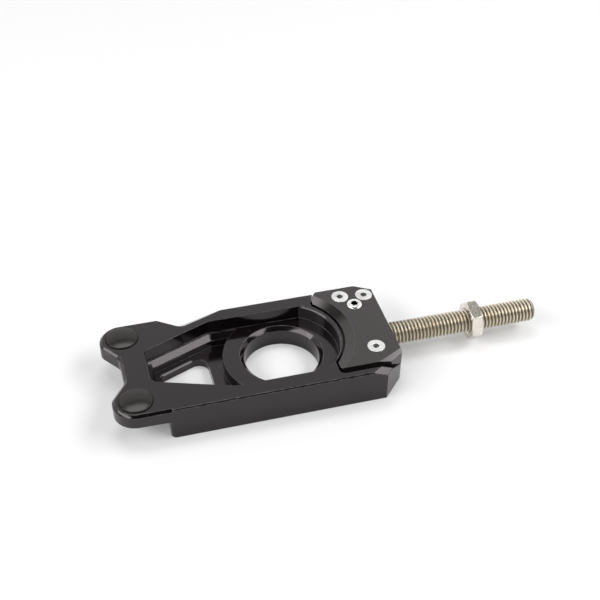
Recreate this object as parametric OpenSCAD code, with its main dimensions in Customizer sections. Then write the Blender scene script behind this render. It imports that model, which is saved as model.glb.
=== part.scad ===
// Motorcycle chain adjuster: an axle block with a clamp plate, a threaded stud and its lock nut.
// The bottom face lies at z = 0, the axle bore is on the Z axis and the stud points along +X.

/* [Axle block] */
// Height of the block from its bottom face to its top face
block_h = 12.25; // [11:0.05:14]
// Height of the parting level: ring floor, plate seat, underside of the ears and stud axis
parting_z = 7.25; // [7:0.05:7.6]
// Width of the block across its two long sides
block_w = 43.5; // [40:0.1:50]
// Distance from the bore axis to the face that the stud leaves
stud_face_x = 36.9; // [36.5:0.1:39]
// Distance from the bore axis to the lower body's face under the ears
lower_face_x = 41; // [40:0.1:42]
// Distance from the bore axis to the end of the nose between the ears
nose_x = 47.2; // [46.5:0.1:48]
// Width of the nose between the ears
nose_w = 21; // [19:0.1:23]
// Plan size of the slanted near corner at the stud face, along X and along Y
corner_cut = [7.2, 7.75]; // [3:0.05:9]
// Plan size of the slanted far corner at the stud face, along X and along Y
far_corner_cut = [5.6, 3.3]; // [3:0.1:9]
// Where the slanted end of the near rim starts, measured along X from the stud face
rim_facet_x = 12.5; // [11:0.1:13]
// Direction and slope of the near rim's slanted end, in degrees
rim_facet_angles = [33, 36]; // [25:1:45]
// Edge break along the near long side
near_break = 0.4; // [0.2:0.05:0.8]
// Edge break along the far side, the ears and the waist between them
rim_break = 0.9; // [0.4:0.05:1.2]
// Lengths of the far side's lightening notch, from its root to the ear and to the plate
notch_arms = [8.8, 17]; // [7:0.1:18]
// Depth of the notch into the top face, measured from the far side
notch_d = 6.2; // [5:0.1:6.8]
// Distance from the bore axis to the notch's root
notch_x = 30.4; // [30:0.1:31]
// Rounding radius of the notch's root
notch_r = 5; // [1:0.1:8]

/* [Ears] */
// Distance from the bore axis to the tips of the ears
ear_tip_x = 57.7; // [57:0.1:59]
// Rounding radius of an ear's outer corners
ear_r = 7.2; // [6.8:0.1:7.6]
// Depth of the waist between the ears, from their tips
waist_depth = 5.1; // [4:0.1:6]
// Length of an ear tip's flat between its two rounded corners
ear_flat = 2.05; // [1:0.05:3]
// Length of each slanted side of the waist, along Y
waist_slope = 7; // [6:0.1:7.2]
// Distances of a plug's centre from its ear's tip and from the long side
plug_inset = [7.4, 6.85]; // [6.5:0.05:8]
// Radius of a plug
plug_r = 5.2; // [4.5:0.05:5.5]
// Depth of a plug's blind hole
plug_depth = 3; // [2:0.1:3.8]
// Height of a plug's domed top above the block
plug_dome = 1; // [0.5:0.05:1.4]
// Gap between a plug and its hole
plug_gap = 0.15; // [0.05:0.05:0.3]

/* [Axle bore and recess] */
// Radius of the axle bore
bore_r = 12.5; // [11:0.1:13]
// Width of the chamfer round the top of the bore
bore_chamfer = 1.32; // [0.5:0.02:1.6]
// Radius of the round end of the washer recess
recess_r = 19; // [18.6:0.1:19.2]
// Thickness of each long side's wall beside the recess's flats
side_wall = 5.75; // [5:0.05:6.5]
// Radius of the ring floor's edge, where the deep pocket begins
ring_r = 19.5; // [19:0.1:20]
// Width of the ledge that the deep pocket leaves along its walls
ledge_w = 0.5; // [0.3:0.05:1]
// Leg of the slanted flank under that ledge
flank = 1.8; // [1:0.1:2.2]
// Height of the deep pocket's floor
pocket_z = 3; // [2.5:0.1:3.5]
// Distance from the bore axis to the pocket's far end
pocket_x = 44.4; // [43.8:0.1:44.6]
// Where the pocket's far wall and its near wall leave the recess's flats, from the bore axis
pocket_from = [21.4, 19]; // [18:0.1:23]
// Half-widths of the pocket at its narrow end, on its far side and on its near side
pocket_half = [7, 7.4]; // [6:0.1:8]
// Distances of the window's wide end and of its narrow end from the bore axis
window_x = [23.7, 39.6]; // [22:0.1:41]
// Half-widths of the window's wide end, on its far side and on its near side
window_wide = [10.2, 8]; // [6:0.1:11]
// Half-widths of the window's narrow end, on its far side and on its near side
window_narrow = [3.6, 2.6]; // [2:0.1:5]
// Width of the break round the window's top edge
window_break = 0.6; // [0.2:0.05:1]
// Edge break round the top of the recess and the pocket
recess_break = 0.35; // [0.2:0.05:0.5]
// Edge break round the inner top edge of the recess's round wall
wall_break = 0.5; // [0.2:0.05:0.8]
// Thickness of that wall, and how far the centre of its outer side is shifted along Y
wall_t = 1.25; // [1:0.05:1.6]
seat_shift = 0.7; // [0:0.05:1]

/* [Clamp plate] */
// Gap between that wall and the plate's concave edge, where both have the same centre
plate_gap = 1.15; // [0.95:0.05:1.5]
// How far that edge's centre is shifted along Y from the bore axis
plate_shift = 1.8; // [1.4:0.05:2]
// Distance from the bore axis to the plate's pointed tip
tip_x = 15.3; // [14.8:0.1:15.8]
// Setback of the slanted side beyond the tip, along X and along Y
tip_cut = [2.2, 2.8]; // [1:0.1:4]
// Distance of the plate's near corner from the stud face
plate_corner_x = 4.5; // [4:0.1:6]
// Width of the block's rim beside the groove
rim_w = 2.4; // [2:0.05:3]
// Gap between the plate's slanted near side and the seat's sloping end wall
seat_end_gap = 0.3; // [0.2:0.05:0.5]
// Slope of that end wall, in degrees
seat_end_slope = 66; // [60:1:75]
// Where the facet on the plate's near corner meets the stud face, from that face's lower end
plate_facet_y = 1.55; // [1:0.05:2.5]
// Direction and slope of the facet on the plate's near corner, in degrees
plate_facet_angles = [27.5, 24]; // [15:0.5:40]
// Gap between the plate's pointed tip and the block, along X
tip_gap = 0.85; // [0.6:0.05:1.3]
// Width of the groove between the plate and the block's near rim
groove_w = 2.3; // [1.8:0.05:2.5]
// Depth of the conical bevel at the plate's concave edge
bevel_h = 0.75; // [0.4:0.05:1.5]
// Width of the conical bevel, measured on the plate's top face
bevel_w = 3.2; // [2:0.1:4]

/* [Stud and lock nut] */
// Nominal radius of the stud's thread
stud_r = 3.97; // [3.9:0.01:4]
// Pitch of the thread, whose turns the solid shows as plain rings
thread_pitch = 1.25; // [1:0.05:1.5]
// Depth of the thread
thread_depth = 0.65; // [0.4:0.05:0.7]
// Distance from the stud face to the thread's first groove
thread_start = 0.5; // [0.3:0.1:2]
// Distance from the bore axis to the stud's free end
stud_end_x = 89.4; // [85:0.1:110]
// Length of the stud's end chamfer
stud_chamfer = 1; // [0.5:0.1:1.4]
// Gap round the stud where it passes between block and plate
stud_gap = 0.12; // [0.05:0.01:0.2]
// Distance from the bore axis to the inner face of the stud's T-head
head_x = 25.6; // [25.2:0.1:26]
// Thickness of the T-head along X
head_t = 5; // [4:0.1:5.5]
// Width of the T-head along Y
head_w = 13; // [11:0.1:13.4]
// Height of the T-head along Z
head_h = 7.9; // [7:0.1:8]
// Gap round the T-head in its seat
head_gap = 0.15; // [0.05:0.05:0.2]
// Distance from the bore axis to the lock nut's inner face
nut_x = 65.2; // [45:0.1:80]
// Thickness of the lock nut
nut_t = 4; // [3.5:0.1:6.5]
// Width of the lock nut across its flats
nut_af = 12; // [11.5:0.05:12.4]
// Turn of the nut about the stud
nut_turn = 44; // [0:1:60]
// Running clearance between the stud and the nut's bore
nut_clearance = 0.06; // [0.02:0.01:0.1]

/* [Fasteners] */
// Distances of the two far countersunk screws from the stud face and from the far side
far_screws = [[11.66, 4.29], [3.41, 5.31]]; // [3:0.01:13]
// Distances of the near countersunk screw from the stud face and from the T-head's side
near_screw = [7.43, 3.1]; // [2.5:0.01:9]
// Head radius of a countersunk screw
screw_head_r = 2.9; // [2.8:0.01:3.1]
// Shank radius of every screw
screw_r = 1.45; // [1.2:0.05:1.5]
// Length of every screw
screw_len = 10; // [8:0.1:10.5]
// Gap round a screw's shank
screw_gap = 0.05; // [0.02:0.01:0.1]
// Width across the flats of a countersunk screw's hexagon socket
hex_af = 2; // [1.5:0.1:2.5]
// Depth of a screw's socket
socket_depth = 1.2; // [0.8:0.1:1.4]
// Distances of the button-head screw from the stud face and from the far side
button_inset = [8, 9.45]; // [7:0.05:10]
// Head radius of the button-head screw
button_r = 2.75; // [2.4:0.05:2.8]
// Height of the button head
button_h = 1.3; // [1:0.05:1.6]
// How far the button head stands above the plate
button_proud = 0.55; // [0.3:0.05:0.8]

/* [Hidden] */
$fn = 56;

// Number of steps in each rounded plan corner
corner_steps = 12;
// A length that carries a cutter safely past the face that it opens
past = 1;
// The same for the small cutters that break edges
clear = 0.3;
half_w = block_w / 2;
waist_x = ear_tip_x - waist_depth;
seat_r = recess_r + wall_t;
plate_edge_r = seat_r + plate_gap;
top_t = block_h - parting_z;
rim_y = half_w - rim_w;
plate_near_y = rim_y - groove_w;
flat_y = half_w - side_wall;
// Both ends of the slanted near corner, and the corner where the plate's near side turns to it
corner_a = [stud_face_x - corner_cut[0], -half_w];
corner_b = [stud_face_x, -half_w + corner_cut[1]];
plate_corner = [stud_face_x - plate_corner_x, -plate_near_y];
plate_side_turn = atan2(corner_b[1] - plate_corner[1], corner_b[0] - plate_corner[0]);
rim_facet_at = [stud_face_x - rim_facet_x, -half_w];
plate_facet_at = corner_b + [0, plate_facet_y];
waist_half = half_w - ear_r - ear_flat - waist_slope;
plug_at = [ear_tip_x - plug_inset[0], half_w - plug_inset[1]];
screw_at = [
    [stud_face_x - far_screws[0][0], half_w - far_screws[0][1]],
    [stud_face_x - far_screws[1][0], half_w - far_screws[1][1]],
    [stud_face_x - near_screw[0], -head_w / 2 - near_screw[1]]
];
button_at = [stud_face_x - button_inset[0], half_w - button_inset[1]];
// Plan of the block's foot, its top layer, its pocket, its window and the clamp plate.
// Each corner is [x, y, rounding radius, edge break of that corner and of the edge after it].
foot_path = [
    [corner_b[0], corner_b[1], 0, 0],
    [stud_face_x, half_w - far_corner_cut[1], 0, 0],
    [stud_face_x - far_corner_cut[0], half_w, 0, 0],
    [-lower_face_x, half_w, 1.8, 0],
    [-lower_face_x, nose_w / 2, 2, 0],
    [-nose_x, nose_w / 2, 4, 0],
    [-nose_x, -nose_w / 2, 4, 0],
    [-lower_face_x, -nose_w / 2, 2, 0],
    [-lower_face_x, -half_w, 1.8, 0],
    [corner_a[0], corner_a[1], 0, 0]
];
top_path = [
    [corner_b[0], corner_b[1], 0, 0],
    [stud_face_x, half_w - far_corner_cut[1], 0, 0],
    [stud_face_x - far_corner_cut[0], half_w, 0, rim_break],
    [-ear_tip_x, half_w, ear_r, rim_break],
    [-ear_tip_x, waist_half + waist_slope, 4, rim_break],
    [-waist_x, waist_half, 4, rim_break],
    [-waist_x, -waist_half, 4, rim_break],
    [-ear_tip_x, -waist_half - waist_slope, 4, rim_break],
    [-ear_tip_x, -half_w, ear_r, rim_break],
    [-lower_face_x, -half_w, 0, near_break],
    [corner_a[0], corner_a[1], 0, 0]
];
pocket_path = [
    [0, -flat_y, 0, 0],
    [0, flat_y, 0, 0],
    [-pocket_from[0], flat_y, 2, recess_break],
    [-pocket_x, pocket_half[0], 1.2, 0],
    [-pocket_x, -pocket_half[1], 3, recess_break],
    [-pocket_from[1], -flat_y, 3, recess_break]
];
deep_path = with_break(inset(pocket_path, ledge_w + flank), flank);
window_path = [
    [-window_x[0], -window_wide[1], 3, 0],
    [-window_x[0], window_wide[0], 3.5, window_break],
    [-window_x[1], window_narrow[0], 0.8, 0],
    [-window_x[1], -window_narrow[1], 1, 0]
];
plate_path = [
    [tip_x, -plate_near_y, 0.8, 0],
    [plate_corner[0], plate_corner[1], 0.3, 0],
    [corner_b[0], corner_b[1], 0, 0],
    [stud_face_x, half_w - far_corner_cut[1], 0, 0],
    [stud_face_x - far_corner_cut[0], half_w, 0, 0],
    [tip_x + tip_cut[0], half_w, 0.3, 0],
    [tip_x, half_w - tip_cut[1], 0.3, 0]
];
seat_path = [
    [tip_x - tip_gap, -rim_y, 1.9, 0],
    [stud_face_x + past, -rim_y, 0, 0],
    [stud_face_x + past, half_w + past, 0, 0],
    [tip_x - tip_gap + tip_cut[0] * (1 + past / tip_cut[1]), half_w + past, 0, 0],
    [tip_x - tip_gap, half_w - tip_cut[1], 1, 0]
];

// Unit vector from point a to point b
function toward(a, b) = [b[0] - a[0], b[1] - a[1]] / norm([b[0] - a[0], b[1] - a[1]]);
// The corner before and the corner after corner i of a closed path
function before(path, i) = path[(i + len(path) - 1) % len(path)];
function after(path, i) = path[(i + 1) % len(path)];
// Heading of the edge that arrives at corner i, and how far the path turns left there
function heading(a, b) = atan2(b[1] - a[1], b[0] - a[0]);
function turn_at(path, i) = let (
    t = heading(path[i], after(path, i)) - heading(before(path, i), path[i])
) t > 180 ? t - 360 : (t < -180 ? t + 360 : t);
// Length that a rounded corner takes from each of its two edges
function setback(path, i) = path[i][2] * tan(abs(turn_at(path, i)) / 2);
// Where the rounding of corner i starts and ends, and its centre
function arc_start(path, i) = let (p = [path[i][0], path[i][1]])
    p + setback(path, i) * toward(path[i], before(path, i));
function arc_end(path, i) = let (p = [path[i][0], path[i][1]])
    p + setback(path, i) * toward(path[i], after(path, i));
function arc_centre(path, i) = let (
    side = turn_at(path, i) > 0 ? 1 : -1,
    e = toward(before(path, i), path[i])
) arc_start(path, i) + side * path[i][2] * [-e[1], e[0]];
// The points of one corner: itself if it is sharp, or its arc
function corner_points(path, i) = path[i][2] == 0
    ? [[path[i][0], path[i][1]]]
    : let (
        c = arc_centre(path, i),
        first = arc_start(path, i) - c,
        from = atan2(first[1], first[0]),
        sweep = turn_at(path, i)
    ) [
        for (k = [0:corner_steps])
            c + path[i][2] * [
                cos(from + sweep * k / corner_steps), sin(from + sweep * k / corner_steps)
            ]
    ];
function outline(path) = [for (i = [0:len(path) - 1]) each corner_points(path, i)];

// A path moved inwards by d, with its roundings kept concentric
function moved_corner(path, i, d) = let (
    a = toward(before(path, i), path[i]),
    b = toward(path[i], after(path, i)),
    mitre = ([-a[1], a[0]] + [-b[1], b[0]]) / (1 + a * b),
    r = path[i][2]
) [
    path[i][0] + d * mitre[0], path[i][1] + d * mitre[1],
    r == 0 ? 0 : max(0.2, turn_at(path, i) > 0 ? r - d : r + d), path[i][3]
];
function inset(path, d) = [for (i = [0:len(path) - 1]) moved_corner(path, i, d)];
// A path with one edge break along all of it
function with_break(path, c) = [for (p = path) [p[0], p[1], p[2], c]];
// The same path walked the other way round, as the edge of a hole
function reversed(path) = let (n = len(path)) [
    for (i = [0:n - 1])
        let (p = path[n - 1 - i])
            [p[0], p[1], p[2], path[(2 * n - 2 - i) % n][3]]
];

// Cuts a 45 degree break along the top edge of a path, where its corners ask for one
module break_edges(path, top_z) {
    for (i = [0:len(path) - 1]) {
        c = path[i][3];
        next = (i + 1) % len(path);
        if (c > 0) {
            from = arc_end(path, i);
            to = arc_start(path, next);
            lead_in = path[i][2] == 0 ? c : 0.01;
            lead_out = path[next][2] == 0 ? c : 0.01;
            translate([from[0], from[1], top_z])
                rotate([0, 0, heading(path[i], path[next])])
                    translate([-lead_in, 0, 0])
                        rotate([90, 0, 90])
                            linear_extrude(norm(to - from) + lead_in + lead_out)
                                polygon([[c + clear, clear], [-clear, clear], [-clear, -c - clear]]);
        }
        if (c > 0 && path[i][2] > 0) {
            centre = arc_centre(path, i);
            first = arc_start(path, i) - centre;
            sweep = turn_at(path, i);
            start = atan2(first[1], first[0]) + min(0, sweep);
            r = path[i][2];
            reach = min(clear, r / 2);
            translate([centre[0], centre[1], top_z])
                rotate([0, 0, start])
                    rotate_extrude(angle = abs(sweep))
                        polygon(sweep > 0
                            ? [[r - c - reach, reach], [r + reach, reach], [r + reach, -c - reach]]
                            : [[r + c + reach, reach], [r - reach, reach], [r - reach, -c - reach]]);
        }
    }
}

// A flat cutter that slopes down to the right of a line on the top face: angles holds the
// line's direction and the slope
module facet(at, angles, top_z) {
    translate([at[0], at[1], top_z])
        rotate([0, 0, angles[0]])
            rotate([angles[1], 0, 0])
                translate([-block_w, -block_w, 0])
                    cube([3 * block_w, block_w, block_h]);
}

// The material outside the seat's sloping end wall, which the seat's cutter leaves in place
module seat_end() {
    translate([corner_b[0], corner_b[1], parting_z])
        rotate([0, 0, plate_side_turn])
            translate([0, -seat_end_gap, 0])
                rotate([-seat_end_slope, 0, 0])
                    translate([-block_w, -block_w, -block_w])
                        cube([2 * block_w, block_w, block_w]);
}

// The long notch in the far side: a rounded V whose valley slopes down and out at 39 degrees
module side_notch() {
    fall = atan2(top_t, notch_d);
    reach = 2;
    h = reach * top_t * cos(fall);
    translate([-notch_x, half_w - notch_d, block_h])
        rotate([-90 - fall, 0, 0])
            translate([0, 0, -half_w / 2])
                linear_extrude(block_w)
                    polygon(outline([
                        [0, 0, notch_r, 0],
                        [reach * notch_arms[1], -h, 0, 0],
                        [-reach * notch_arms[0], -h, 0, 0]
                    ]));
}

// Space for the stud's shank and T-head, cut from both the block and the plate
module stud_space() {
    translate([head_x - head_gap, 0, parting_z])
        rotate([0, 90, 0])
            cylinder(r = stud_r + stud_gap, h = stud_face_x - head_x + head_gap + past);
    translate([head_x - head_gap, -head_w / 2 - head_gap, parting_z - head_h / 2 - head_gap])
        cube([head_t + 2 * head_gap, head_w + 2 * head_gap, head_h + 2 * head_gap]);
}

module axle_block() {
    color([0.07, 0.07, 0.072])
        difference() {
            union() {
                linear_extrude(parting_z) polygon(outline(foot_path));
                translate([0, 0, parting_z]) linear_extrude(top_t) polygon(outline(top_path));
            }
            break_edges(top_path, block_h);
            // Axle bore with its chamfer
            translate([0, 0, -past]) cylinder(r = bore_r, h = block_h + 2 * past);
            translate([0, 0, parting_z - bore_chamfer])
                cylinder(r1 = bore_r, r2 = bore_r + bore_chamfer + past, h = bore_chamfer + past);
            // Washer recess with its two flats
            translate([0, 0, parting_z])
                intersection() {
                    cylinder(r = recess_r, h = top_t + past);
                    translate([0, -flat_y, 0]) cube([recess_r + past, 2 * flat_y, top_t + past]);
                }
            translate([0, 0, block_h - wall_break])
                intersection() {
                    cylinder(
                        r1 = recess_r, r2 = recess_r + wall_break + past, h = wall_break + past
                    );
                    translate([0, -flat_y, 0])
                        cube([recess_r + 2 * past, 2 * flat_y, wall_break + past]);
                }
            // Pocket towards the ears, its ledge, its deep floor and the window in that floor
            translate([0, 0, parting_z]) linear_extrude(top_t + past) polygon(outline(pocket_path));
            difference() {
                union() {
                    translate([0, 0, pocket_z])
                        linear_extrude(block_h - pocket_z) polygon(outline(deep_path));
                    break_edges(reversed(deep_path), parting_z);
                }
                translate([0, 0, -past]) cylinder(r = ring_r, h = block_h + 3 * past);
            }
            translate([0, 0, -past]) linear_extrude(pocket_z + 2 * past) polygon(outline(window_path));
            break_edges(reversed(window_path), pocket_z);
            // Seat of the clamp plate, beside the thin wall round the recess
            difference() {
                translate([0, 0, parting_z]) linear_extrude(top_t + past) polygon(outline(seat_path));
                translate([0, seat_shift, 0]) cylinder(r = seat_r, h = block_h + 2 * past);
                seat_end();
            }
            facet(rim_facet_at, rim_facet_angles, block_h);
            side_notch();
            stud_space();
            for (p = concat(screw_at, [button_at]))
                translate([p[0], p[1], block_h - screw_len - 2 * screw_gap])
                    cylinder(r = screw_r + screw_gap, h = screw_len, $fn = 32);
            for (side = [-1, 1])
                translate([-plug_at[0], side * plug_at[1], block_h - plug_depth])
                    cylinder(r = plug_r + plug_gap, h = plug_depth + past);
        }
}

module clamp_plate() {
    color([0.1, 0.1, 0.1])
        difference() {
            translate([0, 0, parting_z]) linear_extrude(top_t) polygon(outline(plate_path));
            translate([0, plate_shift, 0]) {
                cylinder(r = plate_edge_r, h = block_h + past);
                // Shallow conical bevel along the concave edge
                translate([0, 0, block_h - bevel_h])
                    cylinder(r1 = plate_edge_r, r2 = plate_edge_r + bevel_w, h = bevel_h);
            }
            facet(plate_facet_at, plate_facet_angles, block_h);
            stud_space();
            for (p = screw_at)
                translate([p[0], p[1], block_h]) {
                    mirror([0, 0, 1]) cylinder(r = screw_r + screw_gap, h = block_h, $fn = 32);
                    countersink(screw_gap);
                }
            translate([button_at[0], button_at[1], block_h]) {
                mirror([0, 0, 1]) cylinder(r = screw_r + screw_gap, h = block_h, $fn = 32);
                translate([0, 0, button_proud - button_h])
                    cylinder(r = button_r + 3 * screw_gap, h = button_h, $fn = 32);
            }
        }
}

// The seat of a countersunk head below z = 0: a short straight rim and a 90 degree cone
module countersink(gap) {
    rim = 0.25;
    cone = screw_head_r - screw_r;
    mirror([0, 0, 1]) {
        translate([0, 0, -past]) cylinder(r = screw_head_r + gap, h = rim + past, $fn = 32);
        translate([0, 0, rim])
            cylinder(r1 = screw_head_r + gap, r2 = screw_r + gap, h = cone, $fn = 32);
    }
}

// The shank's outline from its T-head to its free end, as [radius, length] points: plain inside
// the block and ringed by the thread's grooves outside it
function shank_outline() = let (
    whole = stud_end_x - head_x,
    first = stud_face_x + thread_start - head_x,
    turns = floor((whole - stud_chamfer - first) / thread_pitch),
    side = thread_depth * tan(30),
    root = thread_pitch * 7 / 8 - 2 * side
) concat(
    [[0, 0], [stud_r, 0]],
    [
        for (k = [0:turns - 1])
            let (at = first + k * thread_pitch)
                each [
                    [stud_r, at],
                    [stud_r - thread_depth, at + side],
                    [stud_r - thread_depth, at + side + root],
                    [stud_r, at + 2 * side + root]
                ]
    ],
    [[stud_r, whole - stud_chamfer], [stud_r - stud_chamfer * 0.8, whole], [0, whole]]
);

module adjuster_stud() {
    color([0.62, 0.6, 0.56])
        union() {
            translate([head_x, 0, parting_z])
                rotate([0, 90, 0])
                    rotate_extrude($fn = 16)
                        polygon(shank_outline());
            translate([head_x, -head_w / 2, parting_z - head_h / 2]) cube([head_t, head_w, head_h]);
        }
}

// A plain hexagon nut, its corners turned down on both faces
module lock_nut() {
    corner_r = nut_af / 2 / cos(30);
    round_r = nut_af / 2;
    slope = tan(30);
    color([0.72, 0.72, 0.7])
        translate([nut_x, 0, parting_z])
            rotate([0, 90, 0])
                difference() {
                    intersection() {
                        rotate([0, 0, nut_turn]) cylinder(r = corner_r, h = nut_t, $fn = 6);
                        rotate_extrude()
                            polygon([
                                [0, 0],
                                [round_r, 0],
                                [corner_r + past, (corner_r + past - round_r) * slope],
                                [corner_r + past, nut_t - (corner_r + past - round_r) * slope],
                                [round_r, nut_t],
                                [0, nut_t]
                            ]);
                    }
                    translate([0, 0, -past])
                        cylinder(r = stud_r + nut_clearance, h = nut_t + 2 * past);
                    for (face = [0, 1])
                        translate([0, 0, face * nut_t])
                            mirror([0, 0, face])
                                translate([0, 0, -0.01])
                                    cylinder(r1 = stud_r + 0.5, r2 = stud_r, h = 0.5);
                }
}

// A countersunk screw with a hexagon socket, its top flush with the plate
module plate_screw(place) {
    color([0.78, 0.78, 0.77])
        translate([place[0], place[1], block_h])
            difference() {
                union() {
                    intersection() {
                        countersink(0);
                        mirror([0, 0, 1]) cylinder(r = 2 * screw_head_r, h = screw_len);
                    }
                    mirror([0, 0, 1]) cylinder(r = screw_r, h = screw_len, $fn = 32);
                }
                mirror([0, 0, 1])
                    translate([0, 0, -past])
                        cylinder(r = hex_af / 2 / cos(30), h = socket_depth + past, $fn = 6);
            }
}

// A button-head screw with a six-lobed socket, its head in a shallow counterbore
module button_screw() {
    lobe_r = 1.2;
    wave = 0.15;
    color([0.76, 0.76, 0.75])
        translate([button_at[0], button_at[1], block_h + button_proud])
            difference() {
                union() {
                    rotate_extrude($fn = 32)
                        polygon(concat(
                            [[0, -button_h], [button_r, -button_h]],
                            [for (a = [0:15:90])
                                [button_r - 0.9 + 0.9 * cos(a), -0.9 + 0.9 * sin(a)]],
                            [[0, 0]]
                        ));
                    mirror([0, 0, 1]) cylinder(r = screw_r, h = screw_len + button_proud, $fn = 32);
                }
                translate([0, 0, -socket_depth])
                    linear_extrude(socket_depth + past)
                        polygon([for (a = [0:10:350]) (lobe_r + wave * cos(6 * a)) * [cos(a), sin(a)]]);
            }
}

// A domed plug in an ear's blind hole: side is 1 for the far ear and -1 for the near one
module plug(side) {
    dome_r = (plug_r * plug_r + plug_dome * plug_dome) / (2 * plug_dome);
    color([0.13, 0.14, 0.13])
        translate([-plug_at[0], side * plug_at[1], block_h - plug_depth])
            intersection() {
                cylinder(r = plug_r, h = plug_depth + plug_dome);
                translate([0, 0, plug_depth + plug_dome - dome_r]) sphere(r = dome_r);
            }
}

axle_block();
clamp_plate();
adjuster_stud();
lock_nut();
plate_screw(screw_at[0]);  // plate_screw_far_inner
plate_screw(screw_at[1]);  // plate_screw_far_outer
plate_screw(screw_at[2]);  // plate_screw_near
button_screw();
plug(1);  // plug_far
plug(-1);  // plug_near
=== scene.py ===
"""Looks of the chain adjuster: anodised block and plate, threaded stud, nut, screws and plugs."""
import math

import bmesh
import bpy
from mathutils import Matrix, Vector


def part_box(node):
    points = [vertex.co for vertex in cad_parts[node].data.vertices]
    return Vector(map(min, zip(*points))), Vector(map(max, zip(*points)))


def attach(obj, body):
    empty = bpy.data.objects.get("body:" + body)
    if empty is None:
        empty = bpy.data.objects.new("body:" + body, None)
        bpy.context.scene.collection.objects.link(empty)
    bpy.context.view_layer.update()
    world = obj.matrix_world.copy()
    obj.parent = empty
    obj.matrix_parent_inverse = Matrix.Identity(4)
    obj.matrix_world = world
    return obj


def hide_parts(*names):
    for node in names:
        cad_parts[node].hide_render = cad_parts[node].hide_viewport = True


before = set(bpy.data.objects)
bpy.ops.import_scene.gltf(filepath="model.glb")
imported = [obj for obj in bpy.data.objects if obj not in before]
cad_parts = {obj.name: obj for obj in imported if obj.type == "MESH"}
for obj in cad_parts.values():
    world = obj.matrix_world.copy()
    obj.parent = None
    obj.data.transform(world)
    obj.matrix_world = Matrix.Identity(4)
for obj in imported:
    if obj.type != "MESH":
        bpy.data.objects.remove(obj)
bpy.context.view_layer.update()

MM = 0.001

# Photographer's camera, in millimetres and degrees
CAMERA_AT = (-68.78, -261.08, 256.81)
CAMERA_HEADING = 15.99
CAMERA_PITCH = 40.0
CAMERA_ROLL = 0.88
CAMERA_LENS = 66.65
SENSOR = 36.0

# Nearest and farthest distance that the camera sees, in metres
CLIP_NEAR = 0.01
CLIP_FAR = 50.0

# Corner rounding of the machined pieces, in millimetres
BLOCK_EDGE = 0.15
PLATE_EDGE = 0.06
SCREW_EDGE = 0.05
EDGE_SEGMENTS = 2

# Distances in metres within which points are merged: on a piece's own mesh, and on a CAD copy,
# which has slivers, longer ones on the plate
WELD = 2e-6
SLIVER = 2e-5
PLATE_SLIVER = 6e-5

# Angles below which faces are one flat face, and above which an edge is sharp. The plate's cone
# is flatter than the other slopes. The weight says how far large faces lead the shading
FLAT_ANGLE = math.radians(0.3)
SHARP_ANGLE = math.radians(15)
PLATE_SHARP_ANGLE = math.radians(9)
NORMAL_WEIGHT = 80

# Thread of the stud, in millimetres: crest radius, pitch, depth, and the end chamfer with its slope
STUD_R = 3.97
PITCH = 1.25
THREAD_DEPTH = 0.65
END_CHAMFER = 1.1
END_SLOPE = 0.8

# Shares of a pitch that the root and the crest take up, and the thread's mesh density
ROOT_SHARE = 0.25
CREST_SHARE = 0.125
SAMPLES_PER_PITCH = 16
STEPS_AROUND = 48

# T-head of the stud, in millimetres: its thickness along X and the rounding of its edges
T_HEAD = 5.0
T_HEAD_EDGE = 0.3

# Lock nut, in millimetres and degrees: across its flats, its turn about the stud, the bore and its
# chamfer, the edge rounding, what is off each corner, and the slope of the turned down corners
NUT_FLATS = 12.0
NUT_TURN = 44
NUT_BORE = 4.03
NUT_BREAK = 0.44
NUT_EDGE = 0.1
NUT_CORNER = 0.06
NUT_SLOPE = math.tan(math.radians(30))
NUT_SHARP_ANGLE = math.radians(35)

# Angles from the middle of a side at which the nut's mesh has its columns, closer at the corners
SIDE_STEPS = (-30, -29.1, -27, -24, -18, -12, -6, 0, 6, 12, 18, 24, 27, 29.1)

# Plugs, in millimetres: the rolled edge, the height of the dome, and how finely both are turned
PLUG_ROLL = 0.3
PLUG_DOME = 0.55
ROLL_STEPS = 6
ROLL_STEP_ANGLE = 13
DOME_RINGS = 16
PLUG_STEPS = 96

# Drive sockets of the screws: their reach from the axis and depth range below the top, in
# millimetres, and how dark the painted shade inside each kind is
COUNTERSUNK_REACH = 1.22
COUNTERSUNK_SHADE = 0.55
BUTTON_REACH = 1.42
BUTTON_SHADE = 1.0
SOCKET_FROM = 0.04
SOCKET_TO = 2

# Milled floors: the height in millimetres that they lie below, and how straight they look up
FLOOR_LEVEL = 7.6
FLOOR_FACING = 0.95

# Values of a noise between which the gloss of a finish drifts
NOISE_LOW = 0.3
NOISE_HIGH = 0.7

# Colours that lie over the finishes: the oxide's tinted sheen, rubbed edges, dust, stain, the
# painted shade inside a socket, and the share of its tint that duller steel keeps
OXIDE_SHEEN = (1.0, 0.92, 0.94)
RUBBED_OXIDE = (0.16, 0.155, 0.15)
RUBBED_STEEL = (0.9, 0.9, 0.88)
DUST_ON_METAL = (0.3, 0.3, 0.29)
DUST_ON_PLASTIC = (0.3, 0.3, 0.28)
GROOVE_STAIN = (0.46, 0.39, 0.26)
SOCKET_PAINTED_SHADE = (0.02, 0.02, 0.02)
DULL_SHARE = 0.82

# Studio, in metres: half the floor's width, the radius and mesh density of the dark flags, and
# the colours of both
FLOOR_HALF = 4.0
FLAG_RADIUS = 2.6
FLAG_COLUMNS = 24
FLAG_RINGS = 8
FLOOR_WHITE = (0.78, 0.78, 0.785)
CLOTH_BLACK = (0.03, 0.03, 0.03)

# Background brightness: the floor's lift, and the world as light and as seen
FLOOR_LIFT = 0.17
WORLD_LIGHT = 0.5
WORLD_SEEN = 1.0

# Nodes of the part that share a finish
SCREWS = ("plate_screw_far_inner", "plate_screw_far_outer", "plate_screw_near", "button_screw")
PLUGS = ("plug_far", "plug_near")


# Node trees

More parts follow.
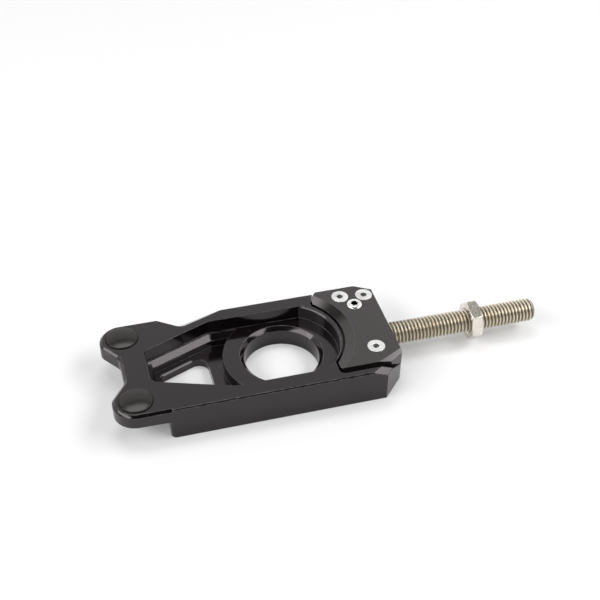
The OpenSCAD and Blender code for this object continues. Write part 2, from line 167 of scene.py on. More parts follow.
def add(tree, kind, **values):
    """A new node, with its properties and its named inputs given as plain words."""
    node = tree.nodes.new(kind)
    for key, value in values.items():
        if key in node.bl_rna.properties:
            setattr(node, key, value)
        else:
            node.inputs[key.replace("_", " ")].default_value = value
    return node


def math_node(tree, operation, a, b=None, clamp=False):
    """A Math node on two sockets or numbers. Returns its output."""
    node = tree.nodes.new("ShaderNodeMath")
    node.operation = operation
    node.use_clamp = clamp
    for socket, value in zip(node.inputs, (a, b)):
        if isinstance(value, bpy.types.NodeSocket):
            tree.links.new(value, socket)
        elif value is not None:
            socket.default_value = value
    return node.outputs[0]


def shader_group(name, inputs, outputs):
    """An empty shader group with named inputs, numbers or a vector, and the outputs' kinds."""
    group = bpy.data.node_groups.new(name, "ShaderNodeTree")
    for label, default in inputs.items():
        kind = "NodeSocketFloat" if isinstance(default, float) else "NodeSocketVector"
        socket = group.interface.new_socket(label, in_out="INPUT", socket_type=kind)
        if kind == "NodeSocketFloat":
            socket.default_value = default
    for label, kind in outputs.items():
        group.interface.new_socket(label, in_out="OUTPUT", socket_type=kind)
    start = group.nodes.new("NodeGroupInput")
    end = group.nodes.new("NodeGroupOutput")
    return group, start, end


def blasted_grain_group():
    """Fine pits of a blasted and anodised surface: a height, and a slow drift of the gloss."""
    group, start, end = shader_group(
        "blasted_grain",
        {"Grain Scale": 4200.0, "Drift Scale": 60.0, "Vector": (0, 0, 0)},
        {"Height": "NodeSocketFloat", "Drift": "NodeSocketFloat"},
    )
    grain = add(group, "ShaderNodeTexNoise", Detail=2.0, Roughness=0.6)
    drift = add(group, "ShaderNodeTexNoise", Detail=3.0, Roughness=0.55)
    for noise, scale in ((grain, "Grain Scale"), (drift, "Drift Scale")):
        group.links.new(start.outputs["Vector"], noise.inputs["Vector"])
        group.links.new(start.outputs[scale], noise.inputs["Scale"])
    group.links.new(grain.outputs["Fac"], end.inputs["Height"])
    group.links.new(drift.outputs["Fac"], end.inputs["Drift"])
    return group


def rubbed_edges_group():
    """Where the broken edges are rubbed: the edge band of the mesh, thinned by a patchy noise."""
    group, start, end = shader_group(
        "rubbed_edges",
        {"Patch Scale": 350.0, "Amount": 0.5, "Vector": (0, 0, 0)},
        {"Mask": "NodeSocketFloat"},
    )
    band = add(group, "ShaderNodeAttribute", attribute_name="edge_band")
    patch = add(group, "ShaderNodeTexNoise", Detail=3.0, Roughness=0.7)
    group.links.new(start.outputs["Vector"], patch.inputs["Vector"])
    group.links.new(start.outputs["Patch Scale"], patch.inputs["Scale"])
    worn_from = 0.35
    contrast = 3.0
    worn = math_node(group, "SUBTRACT", patch.outputs["Fac"], worn_from)
    worn = math_node(group, "MULTIPLY", worn, contrast, clamp=True)
    worn = math_node(group, "MULTIPLY", worn, band.outputs["Fac"])
    mask = math_node(group, "MULTIPLY", worn, start.outputs["Amount"], clamp=True)
    group.links.new(mask, end.inputs["Mask"])
    return group


def dust_group():
    """Sparse fine dust that settles on faces which look up."""
    group, start, end = shader_group(
        "settled_dust",
        {"Speck Scale": 900.0, "Amount": 0.2, "Vector": (0, 0, 0)},
        {"Mask": "NodeSocketFloat"},
    )
    specks = add(group, "ShaderNodeTexVoronoi", Randomness=1.0)
    group.links.new(start.outputs["Vector"], specks.inputs["Vector"])
    group.links.new(start.outputs["Speck Scale"], specks.inputs["Scale"])
    speck_r = 0.16
    contrast = 12.0
    cells_left_out = 0.86
    near = math_node(group, "SUBTRACT", speck_r, specks.outputs["Distance"])
    near = math_node(group, "MULTIPLY", near, contrast, clamp=True)
    pick = add(group, "ShaderNodeSeparateColor")
    group.links.new(specks.outputs["Color"], pick.inputs[0])
    rare = math_node(group, "GREATER_THAN", pick.outputs[0], cells_left_out)
    facing = add(group, "ShaderNodeNewGeometry")
    upward = add(group, "ShaderNodeSeparateXYZ")
    group.links.new(facing.outputs["Normal"], upward.inputs[0])
    up = math_node(group, "MAXIMUM", upward.outputs["Z"], 0.0)
    mask = math_node(group, "MULTIPLY", near, rare)
    mask = math_node(group, "MULTIPLY", mask, up)
    mask = math_node(group, "MULTIPLY", mask, start.outputs["Amount"], clamp=True)
    group.links.new(mask, end.inputs["Mask"])
    return group


GRAIN = blasted_grain_group()
RUBBED = rubbed_edges_group()
DUST = dust_group()


def place_group(tree, group, vector, **values):
    """One use of a shared effect in a material, reading that vector."""
    node = tree.nodes.new("ShaderNodeGroup")
    node.node_tree = group
    tree.links.new(vector, node.inputs["Vector"])
    for key, value in values.items():
        node.inputs[key.replace("_", " ")].default_value = value
    return node


def new_material(name):
    """A material with its Principled shader and the Object coordinates that its patterns read."""
    material = bpy.data.materials.new(name)
    material.use_nodes = True
    tree = material.node_tree
    shader = tree.nodes["Principled BSDF"]
    place = tree.nodes.new("ShaderNodeTexCoord")
    return material, tree, shader, place.outputs["Object"]


def mixed(tree, factor, a, b):
    """A colour mix of two colours or colour sockets. Returns its output."""
    mix = tree.nodes.new("ShaderNodeMix")
    mix.data_type = "RGBA"
    tree.links.new(factor, mix.inputs[0])
    for socket, value in ((mix.inputs[6], a), (mix.inputs[7], b)):
        if isinstance(value, bpy.types.NodeSocket):
            tree.links.new(value, socket)
        else:
            socket.default_value = (*value, 1.0)
    return mix.outputs[2]


def ranged(tree, value, low, high, out_low, out_high):
    """A clamped Map Range. Returns its output."""
    node = add(tree, "ShaderNodeMapRange")
    tree.links.new(value, node.inputs["Value"])
    labels = ("From Min", "From Max", "To Min", "To Max")
    for label, number in zip(labels, (low, high, out_low, out_high)):
        node.inputs[label].default_value = number
    return node.outputs["Result"]


def bumped(tree, shader, height, strength, distance):
    """Feeds a height to the shader's normal."""
    bump = add(tree, "ShaderNodeBump", Strength=strength, Distance=distance)
    tree.links.new(height, bump.inputs["Height"])
    tree.links.new(bump.outputs["Normal"], shader.inputs["Normal"])


# Finishes

def lower_floors(tree, place):
    """1 on the milled floors below the top face, which look up, and 0 elsewhere."""
    apart = add(tree, "ShaderNodeSeparateXYZ")
    tree.links.new(place, apart.inputs[0])
    facing = add(tree, "ShaderNodeNewGeometry")
    upward = add(tree, "ShaderNodeSeparateXYZ")
    tree.links.new(facing.outputs["Normal"], upward.inputs[0])
    low = math_node(tree, "LESS_THAN", apart.outputs["Z"], FLOOR_LEVEL * MM)
    up = math_node(tree, "GREATER_THAN", upward.outputs["Z"], FLOOR_FACING)
    return math_node(tree, "MULTIPLY", low, up)


def anodised(name, dark, light, index, gloss, floor_gloss, grain_depth):
    """Black anodised aluminium: a dyed oxide layer, fine grain, rubbed edges and a little dust.
    The milled floors below the top face are duller than the top."""
    material, tree, shader, place = new_material(name)
    grain = place_group(tree, GRAIN, place, Grain_Scale=5200.0, Drift_Scale=45.0)
    rubbed = place_group(tree, RUBBED, place, Patch_Scale=420.0, Amount=0.55)
    dust = place_group(tree, DUST, place, Speck_Scale=650.0, Amount=0.12)
    dye = ranged(tree, grain.outputs["Drift"], 0.35, 0.65, 0.0, 1.0)
    colour = mixed(tree, dye, dark, light)
    colour = mixed(tree, rubbed.outputs["Mask"], colour, RUBBED_OXIDE)
    colour = mixed(tree, dust.outputs["Mask"], colour, DUST_ON_METAL)
    tree.links.new(colour, shader.inputs["Base Color"])
    floor = lower_floors(tree, place)
    level = ranged(tree, floor, 0.0, 1.0, gloss, floor_gloss)
    drift = ranged(tree, grain.outputs["Drift"], NOISE_LOW, NOISE_HIGH, -0.02, 0.03)
    tree.links.new(math_node(tree, "ADD", level, drift), shader.inputs["Roughness"])
    shader.inputs["IOR"].default_value = index
    shader.inputs["Specular Tint"].default_value = (*OXIDE_SHEEN, 1.0)
    bumped(tree, shader, grain.outputs["Height"], strength=0.35, distance=grain_depth)
    return material


def rolled_stainless(name, root_painted_shade, bright):
    """Stainless thread: bright crests, painted shade in the thread roots, warm stains and fine
    grain.
    """
    material, tree, shader, place = new_material(name)
    apart = add(tree, "ShaderNodeSeparateXYZ")
    tree.links.new(place, apart.inputs[0])
    up = math_node(tree, "SUBTRACT", apart.outputs["Z"], stud_axis_z)
    radius = math_node(tree, "POWER", math_node(
        tree, "ADD",
        math_node(tree, "POWER", apart.outputs["Y"], 2.0),
        math_node(tree, "POWER", up, 2.0),
    ), 0.5)
    crest_r = STUD_R * MM
    depth = THREAD_DEPTH * MM
    # Painted shade: the thread roots take the darker colour, and the crests the steel's own colour
    crest = ranged(tree, radius, crest_r - 0.8 * depth, crest_r - 0.3 * depth, 0.0, 1.0)
    grain = place_group(tree, GRAIN, place, Grain_Scale=2600.0, Drift_Scale=160.0)
    colour = mixed(tree, crest, root_painted_shade, bright)
    stain = ranged(tree, grain.outputs["Drift"], 0.5, 0.75, 0.0, 0.35)
    colour = mixed(tree, stain, colour, GROOVE_STAIN)
    tree.links.new(colour, shader.inputs["Base Color"])
    shader.inputs["Metallic"].default_value = 1.0
    rough = ranged(tree, grain.outputs["Height"], NOISE_LOW, NOISE_HIGH, 0.32, 0.42)
    tree.links.new(rough, shader.inputs["Roughness"])
    bumped(tree, shader, grain.outputs["Height"], strength=0.3, distance=0.00002)
    return material


def bright_steel(name, tint, gloss, grain_scale):
    """Bright stainless steel with fine grain, slightly duller patches and painted shade in the drive
    sockets.
    """
    material, tree, shader, place = new_material(name)
    grain = place_group(tree, GRAIN, place, Grain_Scale=grain_scale, Drift_Scale=300.0)
    rubbed = place_group(tree, RUBBED, place, Patch_Scale=700.0, Amount=0.4)
    dull = tuple(DULL_SHARE * value for value in tint)
    patch = ranged(tree, grain.outputs["Drift"], 0.4, 0.65, 0.0, 1.0)
    colour = mixed(tree, patch, tint, dull)
    colour = mixed(tree, rubbed.outputs["Mask"], colour, RUBBED_STEEL)
    # Painted shade inside the drive sockets, as dark as their socket_shade attribute says
    shade = add(tree, "ShaderNodeAttribute", attribute_name="socket_shade")
    colour = mixed(tree, shade.outputs["Fac"], colour, SOCKET_PAINTED_SHADE)
    tree.links.new(colour, shader.inputs["Base Color"])
    shader.inputs["Metallic"].default_value = 1.0
    height = grain.outputs["Height"]
    rough = ranged(tree, height, NOISE_LOW, NOISE_HIGH, gloss - 0.015, gloss + 0.02)
    tree.links.new(rough, shader.inputs["Roughness"])
    bumped(tree, shader, height, strength=0.15, distance=0.000002)
    return material


def moulded_plug(name, dark, light):
    """Glossy moulded plastic, nearly black, with a faint ripple."""
    material, tree, shader, place = new_material(name)
    grain = place_group(tree, GRAIN, place, Grain_Scale=2400.0, Drift_Scale=120.0)
    dust = place_group(tree, DUST, place, Speck_Scale=800.0, Amount=0.3)
    tone = ranged(tree, grain.outputs["Drift"], 0.35, 0.65, 0.0, 1.0)
    colour = mixed(tree, tone, dark, light)
    colour = mixed(tree, dust.outputs["Mask"], colour, DUST_ON_PLASTIC)
    tree.links.new(colour, shader.inputs["Base Color"])
    rough = ranged(tree, grain.outputs["Height"], NOISE_LOW, NOISE_HIGH, 0.19, 0.23)
    tree.links.new(rough, shader.inputs["Roughness"])
    shader.inputs["IOR"].default_value = 1.42
    bumped(tree, shader, grain.outputs["Height"], strength=0.1, distance=0.000004)
    return material


# Finished pieces

def applied(piece):
    """The piece with its modifiers turned into a plain mesh."""
    graph = bpy.context.evaluated_depsgraph_get()
    mesh = bpy.data.meshes.new_from_object(piece.evaluated_get(graph))
    piece.modifiers.clear()
    old = piece.data
    piece.data = mesh
    bpy.data.meshes.remove(old)
    mesh.name = piece.name
    return piece


def linked(name, mesh):
    """A new object for that mesh, at the origin."""
    piece = bpy.data.objects.new(name, mesh)
    bpy.context.scene.collection.objects.link(piece)
    return piece


def mesh_of(shape, name, material):
    """A mesh of that shape in its material. The shape is freed."""
    mesh = bpy.data.meshes.new(name)
    shape.to_mesh(mesh)
    shape.free()
    mesh.materials.append(material)
    return mesh


def mark_edge_band(mesh):
    """Stores the bevelled faces as the edge_band attribute and gives the mesh one material."""
    band = mesh.attributes.new("edge_band", "FLOAT", "FACE")
    values = [float(face.material_index == 1) for face in mesh.polygons]
    band.data.foreach_set("value", values)
    mesh.polygons.foreach_set("material_index", [0] * len(mesh.polygons))


def mark_socket(piece, reach, shade):
    """Stores how dark the painted shade in the screw's drive socket is, as the socket_shade
    attribute.
    """
    mesh = piece.data
    xs = [vert.co.x for vert in mesh.vertices]
    ys = [vert.co.y for vert in mesh.vertices]
    top = max(vert.co.z for vert in mesh.vertices)
    middle = Vector(((min(xs) + max(xs)) / 2, (min(ys) + max(ys)) / 2))
    values = []
    for face in mesh.polygons:
        below = top - face.center.z
        inside = (face.center.xy - middle).length < reach * MM
        values.append(shade if inside and SOCKET_FROM * MM < below < SOCKET_TO * MM else 0.0)
    layer = mesh.attributes.new("socket_shade", "FLOAT", "FACE")
    layer.data.foreach_set("value", values)


def weighted_normals(piece):
    """Shades the piece by its larger faces, and keeps its sharp edges sharp."""
    weighted = piece.modifiers.new("normals", "WEIGHTED_NORMAL")
    weighted.keep_sharp = True
    weighted.weight = NORMAL_WEIGHT


def finished_copy(node, name, edge, material, sharp=SHARP_ANGLE, sliver=SLIVER):
    """A copy of a machined piece, its sharp edges broken by a small radius.
    Faces of many corners are split only after they have their normals, which they keep."""
    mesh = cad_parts[node].data.copy()
    shape = bmesh.new()
    shape.from_mesh(mesh)
    bmesh.ops.remove_doubles(shape, verts=shape.verts, dist=sliver)
    bmesh.ops.dissolve_limit(
        shape, angle_limit=FLAT_ANGLE, verts=shape.verts, edges=shape.edges
    )
    for face in shape.faces:
        face.smooth = True
    shape.to_mesh(mesh)
    shape.free()
    mesh.materials.clear()
    mesh.materials.append(material)
    mesh.materials.append(material)
    piece = linked(name, mesh)
    bevel = piece.modifiers.new("edge", "BEVEL")
    bevel.width = edge * MM
    bevel.segments = EDGE_SEGMENTS
    bevel.limit_method = "ANGLE"
    bevel.angle_limit = sharp
    bevel.use_clamp_overlap = False
    bevel.miter_outer = "MITER_ARC"
    bevel.material = 1
    weighted_normals(piece)
    flats = piece.modifiers.new("flats", "TRIANGULATE")
    flats.min_vertices = 5
    flats.ngon_method = "BEAUTY"
    flats.keep_custom_normals = True
    applied(piece)
    low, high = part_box(node)
    for vert in piece.data.vertices:
        vert.co = [min(max(value, a), b) for value, a, b in zip(vert.co, low, high)]
    mark_edge_band(piece.data)
    while len(piece.data.materials) > 1:
        piece.data.materials.pop()
    return piece


def helix_tree():
    """Geometry Nodes: a screw thread along X about the stud's axis, with flat ends."""
    tree = bpy.data.node_groups.new("screw_thread", "GeometryNodeTree")
    sizes = ("Start", "End", "Axis Height", "Crest Radius", "Depth", "Pitch", "Chamfer")
    for label in sizes:
        tree.interface.new_socket(label, in_out="INPUT", socket_type="NodeSocketFloat")
    for label in ("Samples", "Steps Around"):
        tree.interface.new_socket(label, in_out="INPUT", socket_type="NodeSocketInt")
    tree.interface.new_socket("Finish", in_out="INPUT", socket_type="NodeSocketMaterial")
    tree.interface.new_socket("Geometry", in_out="OUTPUT", socket_type="NodeSocketGeometry")
    start = tree.nodes.new("NodeGroupInput")
    end = tree.nodes.new("NodeGroupOutput")

    def calc(operation, a, b=None):
        return math_node(tree, operation, a, b)

    def given(label):
        return start.outputs[label]

    # The grid is sheared by one pitch a turn, so that each of its rows follows the helix
    step = calc("DIVIDE", given("Pitch"), given("Samples"))
    spare_rows = 4.0
    spare = calc("MULTIPLY", step, spare_rows)
    threaded = calc("SUBTRACT", given("End"), given("Start"))
    turns = calc("CEIL", calc("DIVIDE", threaded, given("Pitch")))
    rows = calc("MULTIPLY", calc("ADD", turns, 2.0), given("Samples"))
    length = calc("MULTIPLY", rows, step)
    grid = add(tree, "GeometryNodeMeshGrid", Size_Y=1.0)
    tree.links.new(length, grid.inputs["Size X"])
    tree.links.new(calc("ADD", rows, 1.0), grid.inputs["Vertices X"])
    tree.links.new(calc("ADD", given("Steps Around"), 1.0), grid.inputs["Vertices Y"])
    place = tree.nodes.new("GeometryNodeInputPosition")
    apart = tree.nodes.new("ShaderNodeSeparateXYZ")
    tree.links.new(place.outputs[0], apart.inputs[0])
    turn = calc("ADD", apart.outputs["Y"], 0.5)
    along = calc("ADD", apart.outputs["X"], calc("MULTIPLY", length, 0.5))
    first = calc("SUBTRACT", calc("SUBTRACT", given("Start"), given("Pitch")), spare)
    helix = calc("ADD", calc("ADD", along, first), calc("MULTIPLY", turn, given("Pitch")))
    # Sixty degree flanks between a flat crest and a wider root. The nudge keeps each turn's first
    # row on its own side of the fraction
    nudge = 0.0001
    phase = calc("FRACT", calc("ADD", calc("DIVIDE", along, given("Pitch")), nudge))
    from_crest = calc("ABSOLUTE", calc("SUBTRACT", calc("MULTIPLY", phase, 2.0), 1.0))
    wave = calc("SUBTRACT", 1.0, from_crest)
    flank = ranged(tree, wave, ROOT_SHARE, 1.0 - CREST_SHARE, 0.0, 1.0)
    drop = calc("MULTIPLY", calc("SUBTRACT", 1.0, flank), given("Depth"))
    radius = calc("SUBTRACT", given("Crest Radius"), drop)
    chamfer_from = calc("SUBTRACT", given("End"), given("Chamfer"))
    into_end = calc("MAXIMUM", calc("SUBTRACT", helix, chamfer_from), 0.0)
    cone = calc("SUBTRACT", given("Crest Radius"), calc("MULTIPLY", into_end, END_SLOPE))
    radius = calc("MINIMUM", radius, cone)
    held = calc("MINIMUM", calc("MAXIMUM", helix, given("Start")), given("End"))
    beyond = calc("ABSOLUTE", calc("SUBTRACT", helix, held))
    # Rows more than a step past an end fall onto the axis, which closes the flat ends
    one_step = 1.01
    open_rows = calc("LESS_THAN", beyond, calc("MULTIPLY", step, one_step))
    radius = calc("MULTIPLY", radius, open_rows)
    angle = calc("MULTIPLY", turn, 2 * math.pi)
    combine = tree.nodes.new("ShaderNodeCombineXYZ")
    tree.links.new(held, combine.inputs["X"])
    tree.links.new(calc("MULTIPLY", radius, calc("COSINE", angle)), combine.inputs["Y"])
    lifted = calc("ADD", calc("MULTIPLY", radius, calc("SINE", angle)), given("Axis Height"))
    tree.links.new(lifted, combine.inputs["Z"])
    move = tree.nodes.new("GeometryNodeSetPosition")
    tree.links.new(grid.outputs["Mesh"], move.inputs["Geometry"])
    tree.links.new(combine.outputs[0], move.inputs["Position"])
    merge = add(tree, "GeometryNodeMergeByDistance", Distance=WELD)
    tree.links.new(move.outputs[0], merge.inputs["Geometry"])
    finish = tree.nodes.new("GeometryNodeSetMaterial")
    tree.links.new(merge.outputs[0], finish.inputs["Geometry"])
    tree.links.new(given("Finish"), finish.inputs["Material"])
    real = tree.nodes.new("GeometryNodeRealizeInstances")
    tree.links.new(finish.outputs[0], real.inputs[0])
    tree.links.new(real.outputs[0], end.inputs["Geometry"])
    return tree


def set_inputs(modifier, values):
    """Sets a tree's named inputs on its modifier, by their identifiers."""
    for item in modifier.node_group.interface.items_tree:
        if item.in_out == "INPUT" and item.name in values:
            modifier[item.identifier] = values[item.name]


def threaded_stud(name, material):
    """The stud: a real helical thread along its whole length, and the T-head inside the block."""
    low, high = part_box("adjuster_stud")
    piece = linked(name, bpy.data.meshes.new(name))
    grow = piece.modifiers.new("thread", "NODES")
    grow.node_group = helix_tree()
    set_inputs(grow, {
        "Start": low.x + T_HEAD * MM * 0.5,
        "End": high.x,
        "Axis Height": stud_axis_z,
        "Crest Radius": STUD_R * MM,
        "Depth": THREAD_DEPTH * MM,
        "Pitch": PITCH * MM,
        "Chamfer": END_CHAMFER * MM,
        "Samples": SAMPLES_PER_PITCH,
        "Steps Around": STEPS_AROUND,
        "Finish": material,
    })
    applied(piece)
    shape = bmesh.new()
    shape.from_mesh(piece.data)
    bmesh.ops.recalc_face_normals(shape, faces=shape.faces)
    size = Vector((T_HEAD * MM, high.y - low.y, high.z - low.z))
    middle = Vector((low.x + size.x / 2, 0, stud_axis_z))
    head = bmesh.ops.create_cube(shape, size=1.0)["verts"]
    for vert in head:
        vert.co = middle + Vector(a * b for a, b in zip(vert.co, size))
    rim = list(dict.fromkeys(edge for vert in head for edge in vert.link_edges))
    bmesh.ops.bevel(
        shape, geom=rim, offset=T_HEAD_EDGE * MM, segments=2, affect="EDGES", profile=0.5
    )
    for face in shape.faces:
        face.smooth = True
    shape.to_mesh(piece.data)
    shape.free()
    piece.data.set_sharp_from_angle(angle=SHARP_ANGLE)
    return piece


def skin(shape, columns, closed):
    """Faces between columns of points that stand round an axis. A closed column is a ring itself."""
    for column, beside in zip(columns, columns[1:] + columns[:1]):
        for j in range(len(column) if closed else len(column) - 1):
            k = (j + 1) % len(column)
            corners = dict.fromkeys((column[j], column[k], beside[k], beside[j]))
            shape.faces.new(tuple(corners))


def turned_piece(name, profile, centre, steps, material):
    """A closed piece turned about a vertical axis, from (radius, height) points in metres, of
    which the first and the last lie on the axis."""
    shape = bmesh.new()
    (_, bottom), *rim, (_, top) = profile
    under, over = (shape.verts.new((0, 0, height)) for height in (bottom, top))
    columns = []
    for step in range(steps):
        a = 2 * math.pi * step / steps
        side = [
            shape.verts.new((radius * math.cos(a), radius * math.sin(a), height))
            for radius, height in rim
        ]
        columns.append([under, *side, over])
    skin(shape, columns, closed=False)
    bmesh.ops.recalc_face_normals(shape, faces=shape.faces)
    for face in shape.faces:
        face.smooth = True
    bmesh.ops.translate(shape, verts=shape.verts, vec=centre)
    mesh = mesh_of(shape, name, material)
    mesh.set_sharp_from_angle(angle=SHARP_ANGLE)
    return linked(name, mesh)


def hex_nut(name, material):
    """The lock nut: a hexagon whose corners are turned down on both faces, with broken edges."""
    low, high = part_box("lock_nut")
    thick = (high.x - low.x) / MM
    round_r = NUT_FLATS / 2
    widest = round_r / math.cos(math.radians(30)) - NUT_CORNER
    middle_of_edge = 0.3 * NUT_EDGE
    shape = bmesh.new()
    columns = []
    for side in range(6):
        for step in SIDE_STEPS:
            outer = min(round_r / math.cos(math.radians(step)), widest)
            turned = (outer - round_r) * NUT_SLOPE
            inner_turned = max(0.0, turned - NUT_EDGE * NUT_SLOPE)
            half = [
                (NUT_BORE, NUT_BREAK),
                (NUT_BORE + NUT_BREAK, 0.0),
                (round_r - NUT_EDGE, 0.0),
                (max(outer - NUT_EDGE, round_r - NUT_EDGE), inner_turned),
                (outer - middle_of_edge, turned + middle_of_edge),
                (outer, turned + NUT_EDGE),
            ]
            profile = half + [(radius, thick - depth) for radius, depth in reversed(half)]
            a = math.radians(NUT_TURN + 30 + 60 * side + step)
            columns.append([
                shape.verts.new((
                    low.x + depth * MM,
                    radius * MM * math.sin(a),
                    stud_axis_z - radius * MM * math.cos(a),
                ))
                for radius, depth in profile
            ])
    skin(shape, columns, closed=True)
    bmesh.ops.remove_doubles(shape, verts=shape.verts, dist=WELD)
    bmesh.ops.recalc_face_normals(shape, faces=shape.faces)
    for face in shape.faces:
        face.smooth = True
    mesh = mesh_of(shape, name, material)
    mesh.set_sharp_from_angle(angle=NUT_SHARP_ANGLE)
    piece = linked(name, mesh)
    weighted_normals(piece)
    return applied(piece)


def domed_plug(node, name, material):
    """A moulded plug: a cap with a rolled edge that stands above the ear, and a low dome."""
    low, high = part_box(node)
    outer = (high.x - low.x) / 2
    centre = Vector(((low.x + high.x) / 2, (low.y + high.y) / 2, 0))
    top = high.z - PLUG_DOME * MM
    roll = PLUG_ROLL * MM
    profile = [(0.0, low.z), (outer - roll, low.z), (outer, low.z + roll), (outer, top - roll)]
    for k in range(1, ROLL_STEPS + 1):
        a = math.radians(ROLL_STEP_ANGLE * k)
        profile.append((outer - roll + roll * math.cos(a), top - roll + roll * math.sin(a)))
    dome_r, dome_z = profile[-1]
    for k in reversed(range(DOME_RINGS)):
        share = k / DOME_RINGS
        profile.append((dome_r * share, dome_z + (high.z - dome_z) * (1 - share ** 2)))
    return turned_piece(name, profile, centre, PLUG_STEPS, material)


# Stage, light and camera

def seen_directly(tree):
    """1 for the camera and for what metal and glass show of the background, 0 for soft light."""
    rays = tree.nodes.new("ShaderNodeLightPath")
    seen = math_node(tree, "MAXIMUM", rays.outputs["Is Camera Ray"], rays.outputs["Is Glossy Ray"])
    return math_node(tree, "MAXIMUM", seen, rays.outputs["Is Transmission Ray"])


def stage_floor():
    """A white floor that stays white to the camera and keeps the object's shadow."""
    material = bpy.data.materials.new("white_sweep")
    material.use_nodes = True
    tree = material.node_tree
    shader = tree.nodes["Principled BSDF"]
    shader.inputs["Base Color"].default_value = (*FLOOR_WHITE, 1)
    shader.inputs["Roughness"].default_value = 0.7
    shader.inputs["Specular IOR Level"].default_value = 0.2
    glow = add(tree, "ShaderNodeEmission", Color=(1, 1, 1, 1))
    lift = math_node(tree, "MULTIPLY", seen_directly(tree), FLOOR_LIFT)
    tree.links.new(lift, glow.inputs["Strength"])
    both = tree.nodes.new("ShaderNodeAddShader")
    tree.links.new(shader.outputs[0], both.inputs[0])
    tree.links.new(glow.outputs[0], both.inputs[1])
    tree.links.new(both.outputs[0], tree.nodes["Material Output"].inputs["Surface"])
    shape = bmesh.new()
    signs = ((-1, -1), (1, -1), (1, 1), (-1, 1))
    corners = [shape.verts.new((x * FLOOR_HALF, y * FLOOR_HALF, 0)) for x, y in signs]
    shape.faces.new(corners)
    linked("floor", mesh_of(shape, "floor", material))


def white_world():
    """A plain pale surround: white to the camera, softer as light."""
    world = bpy.data.worlds.new("surround")
    bpy.context.scene.world = world
    world.use_nodes = True
    tree = world.node_tree
    back = tree.nodes["Background"]
    back.inputs["Color"].default_value = (1, 1, 1, 1)
    level = ranged(tree, seen_directly(tree), 0.0, 1.0, WORLD_LIGHT, WORLD_SEEN)
    tree.links.new(level, back.inputs["Strength"])


def flag_cloth():
    """Matt black cloth of the studio flags."""
    material = bpy.data.materials.new("flag_cloth")
    material.use_nodes = True
    shader = material.node_tree.nodes["Principled BSDF"]
    shader.inputs["Base Color"].default_value = (*CLOTH_BLACK, 1)
    shader.inputs["Roughness"].default_value = 0.9
    return material


def dark_flag(name, cloth, azimuths, elevations):
    """A black studio flag: a piece of a dome that keeps light off the part from that side."""
    (left, right), (low, high) = azimuths, elevations
    shape = bmesh.new()
    grid = []
    for i in range(FLAG_COLUMNS + 1):
        a = math.radians(left + (right - left) * i / FLAG_COLUMNS)
        column = []
        for j in range(FLAG_RINGS + 1):
            e = math.radians(low + (high - low) * j / FLAG_RINGS)
            column.append(shape.verts.new((
                FLAG_RADIUS * math.cos(a) * math.cos(e),
                FLAG_RADIUS * math.sin(a) * math.cos(e),
                FLAG_RADIUS * math.sin(e),
            )))
        grid.append(column)
    for near, far in zip(grid, grid[1:]):
        for j in range(FLAG_RINGS):
            shape.faces.new((near[j], near[j + 1], far[j + 1], far[j]))
    linked(name, mesh_of(shape, name, cloth))


def softbox(name, azimuth, elevation, distance, width, height, radiance):
    """A rectangular softbox that faces the part, placed by its direction and its brightness."""
    a, e = math.radians(azimuth), math.radians(elevation)
    toward = Vector((math.cos(a) * math.cos(e), math.sin(a) * math.cos(e), math.sin(e)))
    light = bpy.data.lights.new(name, "AREA")
    light.shape = "RECTANGLE"
    light.size = width
    light.size_y = height
    light.energy = radiance * math.pi * width * height
    lamp = bpy.data.objects.new(name, light)
    lamp.location = toward * distance
    lamp.rotation_mode = "QUATERNION"
    lamp.rotation_quaternion = toward.to_track_quat("Z", "Y")
    bpy.context.scene.collection.objects.link(lamp)


def photo_camera():
    """The camera that the photograph was taken with."""
    heading, pitch, roll = (math.radians(v) for v in (CAMERA_HEADING, CAMERA_PITCH, CAMERA_ROLL))
    forward = Vector((
        math.sin(heading) * math.cos(pitch), math.cos(heading) * math.cos(pitch), -math.sin(pitch)
    ))
    level_right = Vector((math.cos(heading), -math.sin(heading), 0))
    level_up = level_right.cross(forward)
    right = level_right * math.cos(roll) + level_up * math.sin(roll)
    up = level_up * math.cos(roll) - level_right * math.sin(roll)
    turn = Matrix((right, up, -forward)).transposed().to_4x4()
    data = bpy.data.cameras.new("photo_camera")
    data.lens = CAMERA_LENS
    data.sensor_width = SENSOR
    data.clip_start = CLIP_NEAR
    data.clip_end = CLIP_FAR
    camera = bpy.data.objects.new("photo_camera", data)
    camera.matrix_world = Matrix.Translation(Vector(CAMERA_AT) * MM) @ turn
    bpy.context.scene.collection.objects.link(camera)
    bpy.context.scene.camera = camera


# Making of the pieces

stud_low, stud_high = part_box("adjuster_stud")
stud_axis_z = (stud_low.z + stud_high.z) / 2

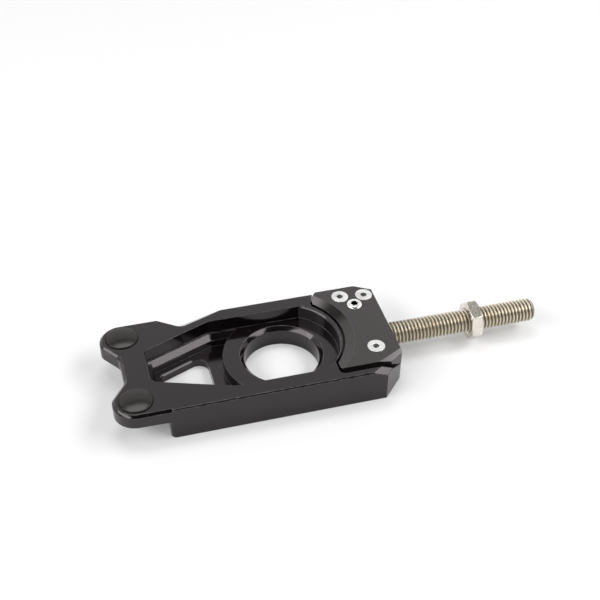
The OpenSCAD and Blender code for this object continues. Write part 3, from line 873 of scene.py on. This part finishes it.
block_finish = anodised(
    "anodised_block",
    dark=(0.0046, 0.0030, 0.0034),
    light=(0.0066, 0.0048, 0.0052),
    index=1.5,
    gloss=0.12,
    floor_gloss=0.13,
    grain_depth=0.000004,
)
plate_finish = anodised(
    "anodised_plate",
    dark=(0.0125, 0.0112, 0.0105),
    light=(0.0165, 0.015, 0.0142),
    index=1.62,
    gloss=0.13,
    floor_gloss=0.16,
    grain_depth=0.000005,
)
# The stud's darker root colour is painted shade in the thread roots
stud_finish = rolled_stainless(
    "rolled_stainless", root_painted_shade=(0.235, 0.2, 0.15), bright=(0.80, 0.745, 0.63)
)
nut_finish = bright_steel("bright_nut", tint=(0.82, 0.77, 0.69), gloss=0.27, grain_scale=5200.0)
screw_finish = bright_steel("bright_screw", tint=(0.86, 0.86, 0.85), gloss=0.22, grain_scale=2600.0)
plug_finish = moulded_plug(
    "moulded_plug", dark=(0.009, 0.008, 0.006), light=(0.013, 0.0115, 0.009)
)

block = finished_copy("axle_block", "axle_block_finished", BLOCK_EDGE, block_finish)
plate = finished_copy(
    "clamp_plate", "clamp_plate_finished", PLATE_EDGE, plate_finish, PLATE_SHARP_ANGLE, PLATE_SLIVER
)
nut = hex_nut("lock_nut_finished", nut_finish)
stud = threaded_stud("adjuster_stud_threaded", stud_finish)

for piece, node, body, slot in (
    (block, "axle_block", "block_body", "anodised_block"),
    (plate, "clamp_plate", "block_body", "anodised_plate"),
    (stud, "adjuster_stud", "block_body", "stainless_stud"),
    (nut, "lock_nut", "nut_body", "stainless_nut"),
):
    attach(piece, body)
    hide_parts(node)

for node in SCREWS:
    screw = finished_copy(node, node + "_finished", SCREW_EDGE, screw_finish)
    # Painted shade in the drive socket, darker in the button screw's
    if node == "button_screw":
        mark_socket(screw, BUTTON_REACH, BUTTON_SHADE)
    else:
        mark_socket(screw, COUNTERSUNK_REACH, COUNTERSUNK_SHADE)
    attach(screw, "block_body")
    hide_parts(node)

for node in PLUGS:
    plug = domed_plug(node, node + "_moulded", plug_finish)
    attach(plug, "block_body")
    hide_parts(node)

# Studio: directions in degrees, seen from the part, and sizes in metres

stage_floor()
white_world()
black_cloth = flag_cloth()
dark_flag("camera_side_flag", black_cloth, azimuths=(-180, 0), elevations=(16, 49))
dark_flag("ceiling_flag", black_cloth, azimuths=(-180, 180), elevations=(49, 90))
for name, azimuth, elevation, distance, width, height, radiance in (
    ("right_softbox", -18, 45, 1.1, 1.0, 0.46, 5.2),
    ("left_softbox", 198, 38, 1.1, 1.2, 0.4, 5.2),
    ("top_softbox", 92, 69, 1.2, 0.7, 0.44, 3.9),
):
    softbox(name, azimuth, elevation, distance, width, height, radiance)
photo_camera()

view = bpy.context.scene.view_settings
view.view_transform = "Standard"
